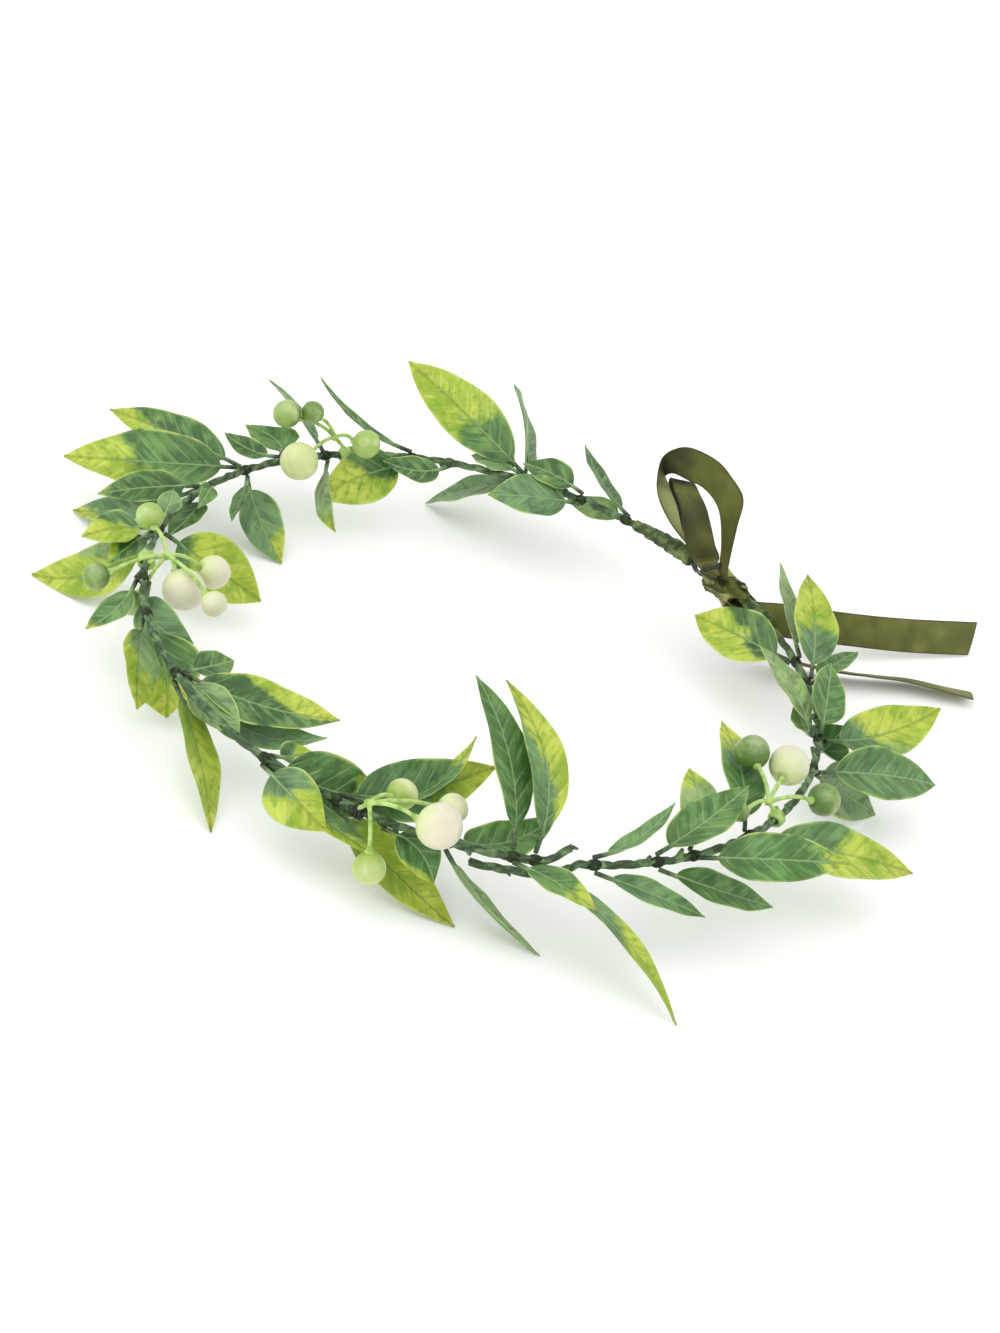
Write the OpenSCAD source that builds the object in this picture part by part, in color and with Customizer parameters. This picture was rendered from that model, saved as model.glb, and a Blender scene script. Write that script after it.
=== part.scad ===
// Leaf halo crown: two wired leaf sprigs bent into one open ring, with berry sprays,
// tied at the back with a satin ribbon in a half bow.
// Lengths are in millimetres. The ring lies level, its centre stands over the origin,
// and the surface that the crown rests on is z = 0. The back, with the tie, is +Y.
// A station is an angle along the ring: 0 is +X, 90 is the back, counted
// anticlockwise from above. Every leaf points towards higher stations.

/* [Ring] */

// Radius of the ring at the middle of its stems
ring_r = 93; // [85:1:105]
// Height of the stems above the surface
ring_z = 22; // [18:1:26]
// Thickness of a stem
stem_d = 2.4; // [2:0.1:2.8]
// How far the right stem's overlap hangs below the left stem
overlap_drop = 4.1; // [4.1:0.1:5]

/* [Leaves] */

// Thickness of a leaf at its midrib
rib_t = 1.1; // [1:0.1:1.6]
// Thickness of a leaf at its edge
edge_t = 0.7; // [0.5:0.1:1]
// Thickness of a petiole
petiole_d = 1.3; // [1:0.1:2]
// How much the two halves of a leaf fold up, as a share of the half width
leaf_fold = 0.22; // [0:0.01:0.5]
// Length of a collar on the stem
collar_l = 4; // [3:0.5:5]

/* [Berries] */

// Thickness of a berry stalk
stalk_d = 1.2; // [1:0.1:1.6]
// Gap between pieces that fit into each other
seat_gap = 0.2; // [0.1:0.05:0.4]

/* [Tie] */

// Thickness of the ribbon's wall
ribbon_t = 1; // [0.8:0.1:1.4]
// Thickness of the wire in the eye
eye_wire_d = 1.2; // [1:0.1:1.6]
// Thickness of the left tape sleeve
tape_left_d = 5.2; // [4.6:0.1:6]
// Thickness of the right tape sleeve
tape_right_d = 4.6; // [4.4:0.1:6]

/* [Hidden] */

$fn = 48;
stem_r = stem_d / 2;
petiole_r = petiole_d / 2;
stalk_r = stalk_d / 2;

// Where the stems and sleeves begin and end, as stations
left_from = 106;
left_to = 333;
left_tip = 337;
right_low_from = 322;
right_low_to = 334;
right_up_from = 338.5;
right_to = 448;
tape_left_span = [102, 115.5];
tape_right_span = [440, 451];

// Stations of the leaf whorls
WHORLS = [117, 126, 137, 151, 158, 175, 184, 193, 204, 222, 238, 248, 264, 287,
          300, 308, 318, 328, 331.5, 341, 352, 359, 372, 398, 407, 424, 430];

// A leaf whose rise is this value has its tip on the surface
lying = -90;

// One row for each leaf:
// whorl, heading from outward, rise, roll, length, width, sideways bow, arch
LEAVES = [
    [1, 51.5, 10, 25, 32.4, 9.4, 0.5, -1.5],
    [1, 71, -15.9, -35, 23.19, 8.2, -1, -1],
    [2, 117, -6, -20, 28, 15.6, 0.5, 1.5],
    [2, 86.5, 9.8, -17.5, 20.22, 11.6, -0.5, 1],
    [3, 58.5, 15, -37.5, 51.5, 16.8, 0.25, 3],
    [3, 16.3, 17.8, 60, 38.06, 15.4, -1, 2],
    [3, 72, lying, -12.5, 34.5, 13.2, -0.25, 1.25],
    [3, 72, 0, -10, 17.6, 12, 0.5, 2],
    [5, 52, 19.1, 10, 35.63, 5.2, 3.5, -2],
    [4, 106.2, 1, -21, 21.65, 9.6, 3, 0],
    [5, 112.5, -18, -55, 31.9, 16.4, -1.75, -0.25],
    [6, 163, -20, 80, 27.4, 9.8, 0, 2],
    [6, 5.5, 10, 30, 33.4, 8.8, 0, 1],
    [7, 29, 2, -20, 19, 7.4, 0.5, -2],
    [7, -5.7, -3.1, -5, 21.06, 14.6, -4.75, -1],
    [8, 20.7, 1, -20, 43.11, 14.2, 0, 1],
    [8, 45.8, -7.3, -25, 50.64, 20, 1.5, 2],
    [8, 190, lying, 25, 28.4, 13.2, 0.5, -4],
    [8, 127, -29, 55, 17, 7.2, 1, 0],
    [9, 114.9, 2.4, -30, 12.89, 5.4, -1, 3.25],
    [9, 16.5, lying, -10, 41, 16.4, 3, -1],
    [9, 45, -10, -20, 29.7, 11, 0, 1],
    [9, 97, -22, 25, 19.9, 10.4, 1.5, 0],
    [10, 15.5, lying, -35, 37.4, 15.2, 5.5, -1.75],
    [10, 60, -20, 5, 18, 9.6, 0.5, 1],
    [10, 181, -20, 50, 33.4, 17.6, 0.5, -3.5],
    [10, 31.8, -8.8, -15, 21.15, 11.6, 0, 1.5],
    [10, -86, 30, 0, 13, 6.6, -0.5, 0.5],
    [11, 52, -20, 10, 22.4, 8.8, 2, -0.5],
    [11, 132.6, -16.6, 30, 22.88, 11.4, -5.25, 1.25],
    [12, 80.8, -21.5, -40, 29.53, 14.2, -1, 0],
    [12, 108, -42.9, 32.5, 27.39, 19.4, 2, 0],
    [13, 143.5, 0, 15, 42.7, 15.6, -2.25, -1],
    [13, 111.5, -10, 20, 23.6, 11.4, 0, 0],
    [13, 86, lying, -30, 42.6, 13, 0.5, 1.5],
    [13, 130.1, 0.6, 7.5, 41.95, 13.4, 0.25, -9.25],
    [13, 189, 0, 15, 18, 9.4, -0.5, 0.5],
    [14, 156, 0, 5, 13.6, 9.4, 0, -1],
    [14, 86, -16, 62.5, 24.1, 14.6, 1, 3],
    [14, 132.5, -10, 45, 30.5, 17.4, -3.75, 3.5],
    [15, 146, 3, 42.5, 46.9, 15.6, -2, -3.25],
    [15, 154.5, 10, -30, 44.3, 10, -2, -7.75],
    [14, 94.9, -11.2, 10, 38.8, 6.8, -1.75, -0.75],
    [16, 79, -30, 20, 19.4, 12.2, 2.5, 1],
    [15, 96, lying, 18.5, 43.1, 14.2, 2, -4.75],
    [17, 125.5, 7, 5, 30.7, 12.8, -1.25, -5],
    [17, 80, lying, -25, 37, 11, 3.5, -2.5],
    [18, 209.2, 44.2, 15, 44.85, 12.8, -4, 0.5],
    [18, 56.5, -3.8, 0, 24.12, 10.8, 0, 1],
    [19, 198.2, 39.9, 10, 45.04, 15.4, -6.25, 0.5],
    [19, 52, lying, -12.5, 52.3, 9.4, 2.25, 4],
    [20, 72.5, -15, 5, 31.8, 9.4, -1, 1],
    [20, 119, 20, -30, 28.6, 7.8, -0.5, -2.5],
    [21, 110, 20, -10, 34.4, 13.8, -0.5, -0.75],
    [21, 70.1, -15.8, 10, 34.99, 11.4, -1.75, 1],
    [22, 49, 15.4, 25, 38.6, 14.4, -1.75, 3.5],
    [22, 147, 10, -5, 30.3, 10.4, -2, 2],
    [23, 55.5, -10, 22.5, 50.29, 15.8, 0.25, 1.75],
    [23, 139.7, 5.4, 12.5, 43.58, 13.2, -1.5, 1.5],
    [24, 38.8, -9.6, 30, 42.96, 15.6, 0.25, 2],
    [24, 49, lying, 55, 38.7, 15.2, 1, -2.75],
    [25, 35.7, 9.3, 20, 40.44, 15.8, -2, -2],
    [25, 131, 20, 5, 12.8, 7.8, -1.25, -3.25],
    [25, 134.5, 20, 10, 31.3, 10.8, 0, 1.5],
    [25, 89.5, 17.5, 25, 28.04, 12.2, 0, 0.25],
    [25, 58.1, -3, 15, 14.58, 14.4, -0.5, -6],
    [26, 81.3, 20.9, 10, 37.9, 14, -1, 1],
    [26, 41, 2, -15, 27, 8.4, 0.5, 0.5],
    [27, 84, 20, 35, 34.6, 9.8, 1, 0],
    [27, 126, -8, -32.5, 34.2, 17.4, 0.5, 1.75]
];

// One row for each berry: spray, station, out of the ring line, above it, diameter
BERRIES = [
    [1, 184, 3.5, 13.5, 8],
    [1, 180, 0.5, 15, 6.4],
    [1, 185.5, -8.5, 5.5, 10.8],
    [1, 170, -7, 8, 8.2],
    [2, 228, 2, 9, 7.4],
    [2, 238, 12, -2, 7.2],
    [2, 237.5, 1, -8.5, 6.8],
    [2, 238, -11, -1, 11.4],
    [2, 232, -18, 1, 9],
    [2, 246, -17.5, 3, 6.8],
    [3, 309, -6, 5, 7.8],
    [3, 316, 5.6, 7.8, 11.4],
    [3, 317.5, -9, 3.5, 7.8],
    [3, 308.7, 9.4, -7.9, 8.2],
    [4, 25, -14.4, 9, 9],
    [4, 28, -5, 7.8, 10.6],
    [4, 28, 6.8, 3.2, 8.8],
    [4, 12, -5, 4, 5]
];

// One row for each spray: station of its collar, then its fork: station, out, up
SPRAYS = [
    [171, 174, 0, 6],
    [232.5, 234.5, -5, 5],
    [304, 305.5, 4, 6],
    [20, 19, -3, 4]
];

function spot(st, out = 0, up = 0) =
    [(ring_r + out) * cos(st), (ring_r + out) * sin(st), ring_z + up];
function turn(st) = [-sin(st), cos(st), 0];
function unit(v) = v / norm(v);
function mix(a, b, k) = a + (b - a) * k;

// Leaves

// Height of a lying leaf's tip above the surface
tip_lift = 0.4;
// Flats of a collar's bore and outside, to their corners
collar_bore = 1.5;
collar_r = 2.25;
// Distance from the stem's middle at which a petiole starts, inside its collar
base_out = 1.9;
petiole_steps = 1;
blade_steps = 6;

function leaf_rise(row) = row[2] == lying ? -asin((ring_z - tip_lift) / row[4]) : row[2];
function leaf_dir(row, st) = let (a = st + row[1], r = leaf_rise(row))
    [cos(r) * cos(a), cos(r) * sin(a), sin(r)];
// Sideways and upward directions of a leaf before it rolls about its own length
function flat_side(row, st) = turn(st + row[1]);
function leaf_side(row, st) = cos(row[3]) * flat_side(row, st)
    + sin(row[3]) * cross(leaf_dir(row, st), flat_side(row, st));
function leaf_up(row, st) = cross(leaf_dir(row, st), leaf_side(row, st));
// Leaves and stalks leave the stem square to it, and then take their own direction
function base(st, d) = spot(st) + base_out * unit(d - (d * turn(st)) * turn(st) + [0, 0, 0.01]);
function leaf_tip(row, st) = spot(st) + row[4] * leaf_dir(row, st);
function spine(row, st, t) = mix(base(st, leaf_dir(row, st)), leaf_tip(row, st), t)
    + 4 * t * (1 - t) * (row[6] * leaf_side(row, st) + row[7] * leaf_up(row, st));
function petiole_share(row) = (3 + 0.05 * row[4]) / row[4];
// Half width along the blade, widest at about 0.41 of it
function half_width(row, u) = max(0.35, row[5] * 1.473 * pow(u, 0.65) * pow(1 - u, 0.95));

// A cut across a leaf is its left edge, midrib and right edge, above and then below
function leaf_cut(row, st, t, h, e, r) = let (
        c = spine(row, st, t),
        s = leaf_side(row, st),
        n = leaf_up(row, st),
        lift = leaf_fold * h
    ) [
        c - h * s + (lift + e) * n,
        c + r * n,
        c + h * s + (lift + e) * n,
        c + h * s + (lift - e) * n,
        c - r * n,
        c - h * s + (lift - e) * n
    ];
function petiole_cuts(row, st) = [for (k = [0:petiole_steps - 1])
    leaf_cut(row, st, petiole_share(row) * k / petiole_steps,
        petiole_r * cos(30), petiole_r * sin(30), petiole_r)];
function blade_cuts(row, st) = [for (k = [0:blade_steps]) let (u = k / blade_steps)
    leaf_cut(row, st, mix(petiole_share(row), 1, u), half_width(row, u), edge_t / 2,
        mix(rib_t, edge_t, u) / 2)];

// A closed skin over a row of cuts that all have the same number of points
module skin(cuts) {
    n = len(cuts[0]);
    last = len(cuts) - 1;
    sides = [for (i = [0:last - 1]) for (j = [0:n - 1]) let (k = (j + 1) % n) each [
        [i * n + j, (i + 1) * n + k, (i + 1) * n + j],
        [i * n + j, i * n + k, (i + 1) * n + k]
    ]];
    caps = [for (j = [1:n - 2]) each [
        [0, j + 1, j],
        [last * n, last * n + j, last * n + j + 1]
    ]];
    polyhedron([for (cut = cuts) each cut], concat(sides, caps));
}

module leaf(row, st) {
    skin(concat(petiole_cuts(row, st), blade_cuts(row, st)));
}

module collar(st, l = collar_l) {
    translate(spot(st))
        rotate([0, 0, st])
            rotate([90, 0, 0])
                difference() {
                    cylinder(r = collar_r, h = l, center = true, $fn = 8);
                    cylinder(r = collar_bore, h = l + 1, center = true, $fn = 8);
                }
}

module leaf_whorl(w) {
    st = WHORLS[w - 1];
    rows = [for (row = LEAVES) if (row[0] == w) row];
    color([0.42, 0.62, 0.36]) {
        collar(st);
        for (row = rows)
            leaf(row, st);
    }
}

// Stems

module arc_rod(r, from, to, drop = 0) {
    translate([0, 0, ring_z - drop])
        rotate([0, 0, from])
            rotate_extrude(angle = to - from, $fn = 120)
                translate([ring_r, 0])
                    circle(r);
}

module rod(a, b, ra, rb) {
    v = b - a;
    translate(a)
        rotate([0, acos(v[2] / norm(v)), atan2(v[1], v[0])])
            cylinder(r1 = ra, r2 = rb, h = norm(v));
}

module stem_left() {
    tip = spot(left_tip, -1.5, 4);
    color([0.13, 0.2, 0.1]) {
        arc_rod(stem_r, left_from, left_to);
        translate(spot(left_to)) sphere(stem_r * 1.1);
        rod(spot(left_to), tip, stem_r, stem_r * 0.9);
        rod(tip, tip + unit(tip - spot(left_to)) * 2.4, stem_r * 1.5, 0.3);
    }
}

module stem_right() {
    low = spot(right_low_to, 0, -overlap_drop);
    color([0.13, 0.2, 0.1]) {
        arc_rod(stem_r, right_low_from, right_low_to, overlap_drop);
        translate(low) sphere(stem_r * 1.1);
        rod(low, spot(right_up_from), stem_r, stem_r);
        translate(spot(right_up_from)) sphere(stem_r * 1.1);
        arc_rod(stem_r, right_up_from, right_to);
    }
}

// Berries and their stalks

stalk_sides = 6;
stalk_steps = 4;
stalk_bow = 1.5;
function berry_r(b) = b[4] / 2;
function berry_at(b) = spot(b[1], b[2], b[3]);
function fork(s) = spot(SPRAYS[s - 1][1], SPRAYS[s - 1][2], SPRAYS[s - 1][3]);

// A stalk runs from a to b and bows upward by that much at its middle
module stalk(a, b, bow, steps) {
    side = unit(cross(b - a, [0, 0, 1]) + [0.01, 0, 0]);
    up = unit(cross(side, b - a));
    skin([for (k = [0:steps]) let (t = k / steps, c = mix(a, b, t) + [0, 0, 4 * bow * t * (1 - t)])
        [for (j = [0:stalk_sides - 1]) let (v = 360 * j / stalk_sides)
            c + stalk_r * (cos(v) * side + sin(v) * up)]]);
}

module stalk_spray(s) {
    st = SPRAYS[s - 1][0];
    color([0.72, 0.83, 0.42]) {
        collar(st, 3);
        stalk(base(st, fork(s) - spot(st)), fork(s), 0, 1);
        for (b = BERRIES)
            if (b[0] == s) {
                way = unit(berry_at(b) - fork(s));
                end = berry_at(b) - (berry_r(b) + seat_gap + stalk_r) * way;
                stalk(fork(s), end, stalk_bow, stalk_steps);
            }
    }
}

module berry(i) {
    b = BERRIES[i - 1];
    color([0.86, 0.9, 0.66])
        translate(berry_at(b))
            sphere(berry_r(b));
}

// Tape sleeves and wire eye

module tape_sleeve(span, d) {
    translate([0, 0, ring_z])
        rotate([0, 0, span[0]])
            rotate_extrude(angle = span[1] - span[0], $fn = 120)
                translate([ring_r, 0])
                    difference() {
                        circle(d / 2);
                        circle(stem_r + seat_gap);
                    }
}

module tape_left() {
    color([0.16, 0.33, 0.22])
        tape_sleeve(tape_left_span, tape_left_d);
}

module tape_right() {
    color([0.16, 0.33, 0.22])
        tape_sleeve(tape_right_span, tape_right_d);
}

// The eye stands on edge just beyond the left sleeve, with its shank in the sleeve
eye_st = 99.8;
eye_r = 2.75;

module wire_eye() {
    wire_r = eye_wire_d / 2;
    shank_l = 5;
    color([0.12, 0.16, 0.1])
        translate(spot(eye_st))
            rotate([0, 0, eye_st])
                rotate([0, 90, 0]) {
                    rotate_extrude()
                        translate([eye_r, 0])
                            circle(wire_r, $fn = 24);
                    translate([0, eye_r, 0])
                        rotate([-90, 0, 0])
                            cylinder(r = wire_r * 1.4, h = shank_l, $fn = 24);
                }
}

// Ribbon

// Each row is one line across the ribbon: its near edge and its far edge.
// The ribbon runs smoothly through its rows.
OPEN_LOOP = [
    [[-2.5, 87.5, 28], [-6, 89, 27]],
    [[-2.5, 86, 34], [-6.5, 87.5, 29]],
    [[-2, 83.5, 46], [-6.5, 85, 37]],
    [[-2.5, 82.5, 55], [-8, 82, 46]],
    [[-8, 81, 59], [-11.5, 81, 49.5]],
    [[-15, 81, 60], [-17, 81, 50]],
    [[-25, 80.5, 58], [-23, 82, 48]],
    [[-31, 80.5, 54], [-31.5, 84, 45]],
    [[-34.5, 80.5, 48.5], [-36, 86, 40.5]],
    [[-33.5, 80.5, 41.5], [-35, 89, 37]],
    [[-31, 81, 37], [-32.5, 90.5, 34]],
    [[-27, 82, 33.5], [-29, 91.5, 31.5]],
    [[-22, 83, 31], [-24, 92, 29.5]],
    [[-16.5, 84.5, 29], [-18.5, 92, 28.5]],
    [[-12, 87, 28], [-13, 91, 28]]
];
FLAT_LOOP = [
    [[-8, 84, 26.5], [-8, 88, 27.5]],
    [[-9, 80, 30.5], [-8, 87.5, 31]],
    [[-11, 77.5, 34], [-10, 87, 34]],
    [[-14, 76, 38.5], [-13, 86, 38]],
    [[-18, 74.5, 44], [-17, 84, 42.5]],
    [[-21, 72.5, 47.5], [-20, 81.5, 45.5]],
    [[-22.5, 72, 49.5], [-22, 81, 47]],
    [[-24.5, 72.5, 49.5], [-24, 81.5, 47]],
    [[-25, 74, 46.5], [-24.5, 83, 44.5]],
    [[-20.5, 76.5, 42], [-20, 86, 40.5]],
    [[-16, 78.5, 36], [-15.5, 87.5, 35.5]],
    [[-12.5, 81.5, 31], [-12, 88.5, 31]],
    [[-11, 84.5, 28], [-11, 88.5, 28]]
];
LONG_TAIL = [
    [[0.2, 96.4, 16], [-2.9, 98.3, 19.2]],
    [[2.5, 101, 11.8], [-1.5, 103, 17.4]],
    [[6.5, 110, 9], [1, 112, 16.8]],
    [[12, 132, 6], [7, 134, 14]],
    [[17, 154, 3.2], [12, 156, 11.6]],
    [[21.3, 178.4, 0.7], [16.8, 182.6, 9.2]]
];
SHORT_TAIL = [
    [[3, 91.4, 16.2], [1, 94.4, 16]],
    [[7.5, 94, 12.5], [4.5, 98, 9.5]],
    [[16, 106, 8], [10.5, 112.5, 2.5]],
    [[24, 124, 5.6], [19.5, 129, 1.4]],
    [[31, 140.5, 4.7], [26, 146, 1.2]],
    [[36, 148.5, 4.1], [31, 154, 1.1]],
    [[43, 158.5, 3.4], [37, 164, 0.8]]
];

// A smooth curve through points p[i] and p[i + 1], at t from 0 to 1
function through(p, i, t) = let (
        a = p[max(i - 1, 0)], b = p[i], c = p[i + 1], d = p[min(i + 2, len(p) - 1)]
    ) 0.5 * (2 * b + (c - a) * t + (2 * a - 5 * b + 4 * c - d) * t * t
        + (3 * b - a - 3 * c + d) * t * t * t);
function edge(rows, e) = [for (row = rows) row[e]];
function smooth(p, steps) = [for (i = [0:len(p) - 2]) for (k = [0:steps - 1]) through(p, i, k / steps),
    p[len(p) - 1]];

module ribbon_band(rows, steps) {
    near = smooth(edge(rows, 0), steps);
    far = smooth(edge(rows, 1), steps);
    last = len(near) - 1;
    middle = (near + far) / 2;
    cuts = [for (i = [0:last]) let (
            run = middle[min(i + 1, last)] - middle[max(i - 1, 0)],
            out = unit(cross(run, far[i] - near[i])) * ribbon_t / 2
        ) [near[i] + out, far[i] + out, far[i] - out, near[i] - out]];
    color([0.42, 0.42, 0.2])
        skin(cuts);
}

module ribbon_open_loop() {
    ribbon_band(OPEN_LOOP, 4);
}

module ribbon_flat_loop() {
    ribbon_band(FLAT_LOOP, 4);
}

module ribbon_long_tail() {
    ribbon_band(LONG_TAIL, 4);
}

module ribbon_short_tail() {
    ribbon_band(SHORT_TAIL, 4);
}

// The knot is wound along the ring, with crumpled turns
knot_from = 88.5;
knot_to = 97.6;
knot_r = 5.6;
knot_cuts = 9;
knot_sides = 20;

function knot_cut(k) = let (
        t = k / (knot_cuts - 1),
        st = mix(knot_from, knot_to, t),
        out = [cos(st), sin(st), 0],
        bulge = 0.76 + 0.24 * sin(180 * t)
    ) [for (j = [0:knot_sides - 1]) let (
            a = 360 * j / knot_sides,
            r = knot_r * bulge + 0.45 * sin(4 * a + 500 * t) + 0.3 * sin(7 * a - 300 * t)
        ) spot(st, -0.6, -0.4) + r * (cos(a) * out + [0, 0, sin(a)])];

module ribbon_knot() {
    color([0.38, 0.37, 0.17])
        difference() {
            skin([for (k = [0:knot_cuts - 1]) knot_cut(k)]);
            knot_bore();
        }
}

module knot_bore() {
    arc_rod(tape_right_d / 2 + seat_gap, knot_from - 1, tape_right_span[1] - 360 + 0.2);
    arc_rod(stem_r + seat_gap, knot_from - 1, knot_to + 1);
}

function numbered(name, i) = str(name, i < 10 ? "_0" : "_", i);

stem_left();
stem_right();
tape_left();
tape_right();
wire_eye();
ribbon_knot();
ribbon_open_loop();
ribbon_flat_loop();
ribbon_long_tail();
ribbon_short_tail();
for (w = [1:len(WHORLS)])
    leaf_whorl(w);
for (s = [1:len(SPRAYS)])
    stalk_spray(s);
for (i = [1:len(BERRIES)])
    berry(i);
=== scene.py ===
import math
import bpy
from mathutils import Matrix, Vector, noise


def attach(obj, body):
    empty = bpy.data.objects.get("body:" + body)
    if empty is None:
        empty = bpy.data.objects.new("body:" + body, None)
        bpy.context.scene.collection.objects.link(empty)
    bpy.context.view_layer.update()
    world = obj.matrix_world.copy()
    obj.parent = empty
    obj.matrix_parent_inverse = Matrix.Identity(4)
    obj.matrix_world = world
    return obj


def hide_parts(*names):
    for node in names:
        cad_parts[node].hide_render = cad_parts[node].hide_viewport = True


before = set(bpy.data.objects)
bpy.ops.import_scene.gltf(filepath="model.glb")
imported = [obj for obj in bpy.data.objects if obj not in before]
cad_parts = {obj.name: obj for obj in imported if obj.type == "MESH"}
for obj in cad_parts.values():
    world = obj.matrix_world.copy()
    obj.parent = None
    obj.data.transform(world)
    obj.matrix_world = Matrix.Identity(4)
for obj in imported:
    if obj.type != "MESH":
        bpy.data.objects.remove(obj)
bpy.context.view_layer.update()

scene = bpy.context.scene

# Camera
# The crown is seen from its front and right, from above, with the picture turned a little clockwise.
# The camera stands 0.8 m from the middle of the ring and has a long lens.
turned, raised, rolled = math.radians(44), math.radians(32), math.radians(18)
back = Vector((math.sin(turned) * math.cos(raised), -math.cos(turned) * math.cos(raised), math.sin(raised)))
level = Vector((math.cos(turned), math.sin(turned), 0))
upright = back.cross(level)
right = math.cos(rolled) * level + math.sin(rolled) * upright
up = math.cos(rolled) * upright - math.sin(rolled) * level
camera = bpy.data.objects.new("camera", bpy.data.cameras.new("camera"))
camera.data.lens = 80.8
camera.data.sensor_width = 36
scene.collection.objects.link(camera)
aimed_at = Vector((0, 0, 0.022)) + 0.0036 * right - 0.0064 * up
distance = 0.8
facing_crown = Matrix((right, up, back)).transposed().to_4x4()
camera.matrix_world = Matrix.Translation(aimed_at + distance * back) @ facing_crown
scene.camera = camera


# Floor and light
# The crown lies on a plain pale floor. One large soft lamp stands to the upper left and a weaker one
# to the right, in pale air.
def paint(red, green, blue):
    """A colour as it is seen, from 0 to 1 each, turned into the numbers that a shader takes"""
    return [c / 12.92 if c < 0.04045 else ((c + 0.055) / 1.055) ** 2.4 for c in (red, green, blue)] + [1]


def finish(name, roughness=0.5, **sockets):
    """A material and its node tree, with the plain values set on its shader"""
    material = bpy.data.materials.new(name)
    material.use_nodes = True
    shader = material.node_tree.nodes["Principled BSDF"]
    shader.inputs["Roughness"].default_value = roughness
    for key, value in sockets.items():
        shader.inputs[key.replace("_", " ")].default_value = value
    return material, material.node_tree


scene.view_settings.view_transform = "Standard"
floor_mesh = bpy.data.meshes.new("floor")
floor_mesh.from_pydata([(-4, -4, 0), (4, -4, 0), (4, 4, 0), (-4, 4, 0)], [], [(0, 1, 2, 3)])
floor_mesh.materials.append(
    finish("pale floor", 0.9, Base_Color=paint(0.995, 0.995, 0.99), Specular_IOR_Level=0.1)[0])
floor = bpy.data.objects.new("floor", floor_mesh)
scene.collection.objects.link(floor)

air = bpy.data.worlds.new("pale air")
air.use_nodes = True
air.node_tree.nodes["Background"].inputs["Color"].default_value = (1, 1, 1, 1)
air.node_tree.nodes["Background"].inputs["Strength"].default_value = 1.0
scene.world = air
lamp_size = 1.5
for lamp_name, power, stands in (
    ("key", 6.0, -0.45 * right + 0.6 * up + 0.7 * back),
    ("fill", 2.0, 0.9 * right + 0.35 * up + 0.5 * back),
):
    lamp = bpy.data.objects.new(lamp_name, bpy.data.lights.new(lamp_name, "AREA"))
    lamp.data.energy = power
    lamp.data.size = lamp_size
    lamp.location = stands
    lamp.rotation_euler = (-stands).to_track_quat("-Z", "Y").to_euler()
    scene.collection.objects.link(lamp)


# Stems
# Two wires wrapped in dark green bind two leafy sprigs into one ring. Their left and right ends
# overlap at the front, where the left one rises into a barbed tip. Small nubs are left where
# leaves were moulded on.
class Flow:
    """A value on its way through a node tree; sums and products of flows add the nodes for them"""

    def __init__(self, tree, socket):
        self.tree, self.socket = tree, socket
        self.is_vector = socket.type == "VECTOR"

    def do(self, operation, *others):
        """One maths node on this value and the others"""
        kind = "ShaderNodeVectorMath" if self.is_vector else "ShaderNodeMath"
        return add(self.tree, kind, self, *others, operation=operation)

    def __add__(self, other):
        return self.do("ADD", other)

    def __sub__(self, other):
        return self.do("SUBTRACT", other)

    def __rsub__(self, other):
        return self.do("MULTIPLY", -1).do("ADD", other)

    def __mul__(self, other):
        if self.is_vector:
            return add(self.tree, "ShaderNodeVectorMath", self, None, None, other, operation="SCALE")
        return other * self if isinstance(other, Flow) and other.is_vector else self.do("MULTIPLY", other)

    def __truediv__(self, other):
        return self.do("DIVIDE", other)

    def __pow__(self, other):
        return self.do("POWER", other)

    def __abs__(self):
        return self.do("ABSOLUTE")

    __radd__, __rmul__ = __add__, __mul__

    def ramp(self, low, high):
        """0 below low, 1 above high, and smooth between"""
        return add(
            self.tree, "ShaderNodeMapRange", self, low, high, 0.0, 1.0, interpolation_type="SMOOTHSTEP")

    def parts(self):
        """The X, Y and Z of a vector"""
        split = self.tree.nodes.new("ShaderNodeSeparateXYZ")
        self.tree.links.new(self.socket, split.inputs[0])
        return [Flow(self.tree, part) for part in split.outputs]


def plug(tree, socket, value):
    """Feeds a socket from a flow, or sets it to a plain value"""
    if isinstance(value, Flow):
        tree.links.new(value.socket, socket)
    else:
        socket.default_value = value


def add(tree, kind, *values, out=0, named=None, **settings):
    """Adds a node, feeds its inputs in order (None leaves one alone) or by name, and gives one output"""
    made = tree.nodes.new(kind)
    for key, value in settings.items():
        setattr(made, key, value)
    for i, value in enumerate(values):
        if value is not None:
            plug(tree, made.inputs[i], value)
    for key, value in (named or {}).items():
        plug(tree, made.inputs[key], value)
    return Flow(tree, made.outputs[out])


def join(tree, *shapes):
    """Several shapes as one"""
    together = tree.nodes.new("GeometryNodeJoinGeometry")
    for shape in shapes:
        tree.links.new(shape.socket, together.inputs[0])
    return Flow(tree, together.outputs[0])


def new_tree(name, **sizes):
    """A Geometry Nodes tree with a geometry input, then one named input for each size or material"""
    tree = bpy.data.node_groups.new(name, "GeometryNodeTree")
    tree.interface.new_socket("Geometry", in_out="OUTPUT", socket_type="NodeSocketGeometry")
    tree.interface.new_socket("Geometry", in_out="INPUT", socket_type="NodeSocketGeometry")
    for key, value in sizes.items():
        kind = {float: "Float", int: "Int", tuple: "Vector"}.get(type(value), "Material")
        tree.interface.new_socket(key, in_out="INPUT", socket_type="NodeSocket" + kind).default_value = value
    given = tree.nodes.new("NodeGroupInput").outputs
    return tree, *[Flow(tree, given[i]) for i in range(len(sizes) + 1)]


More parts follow.
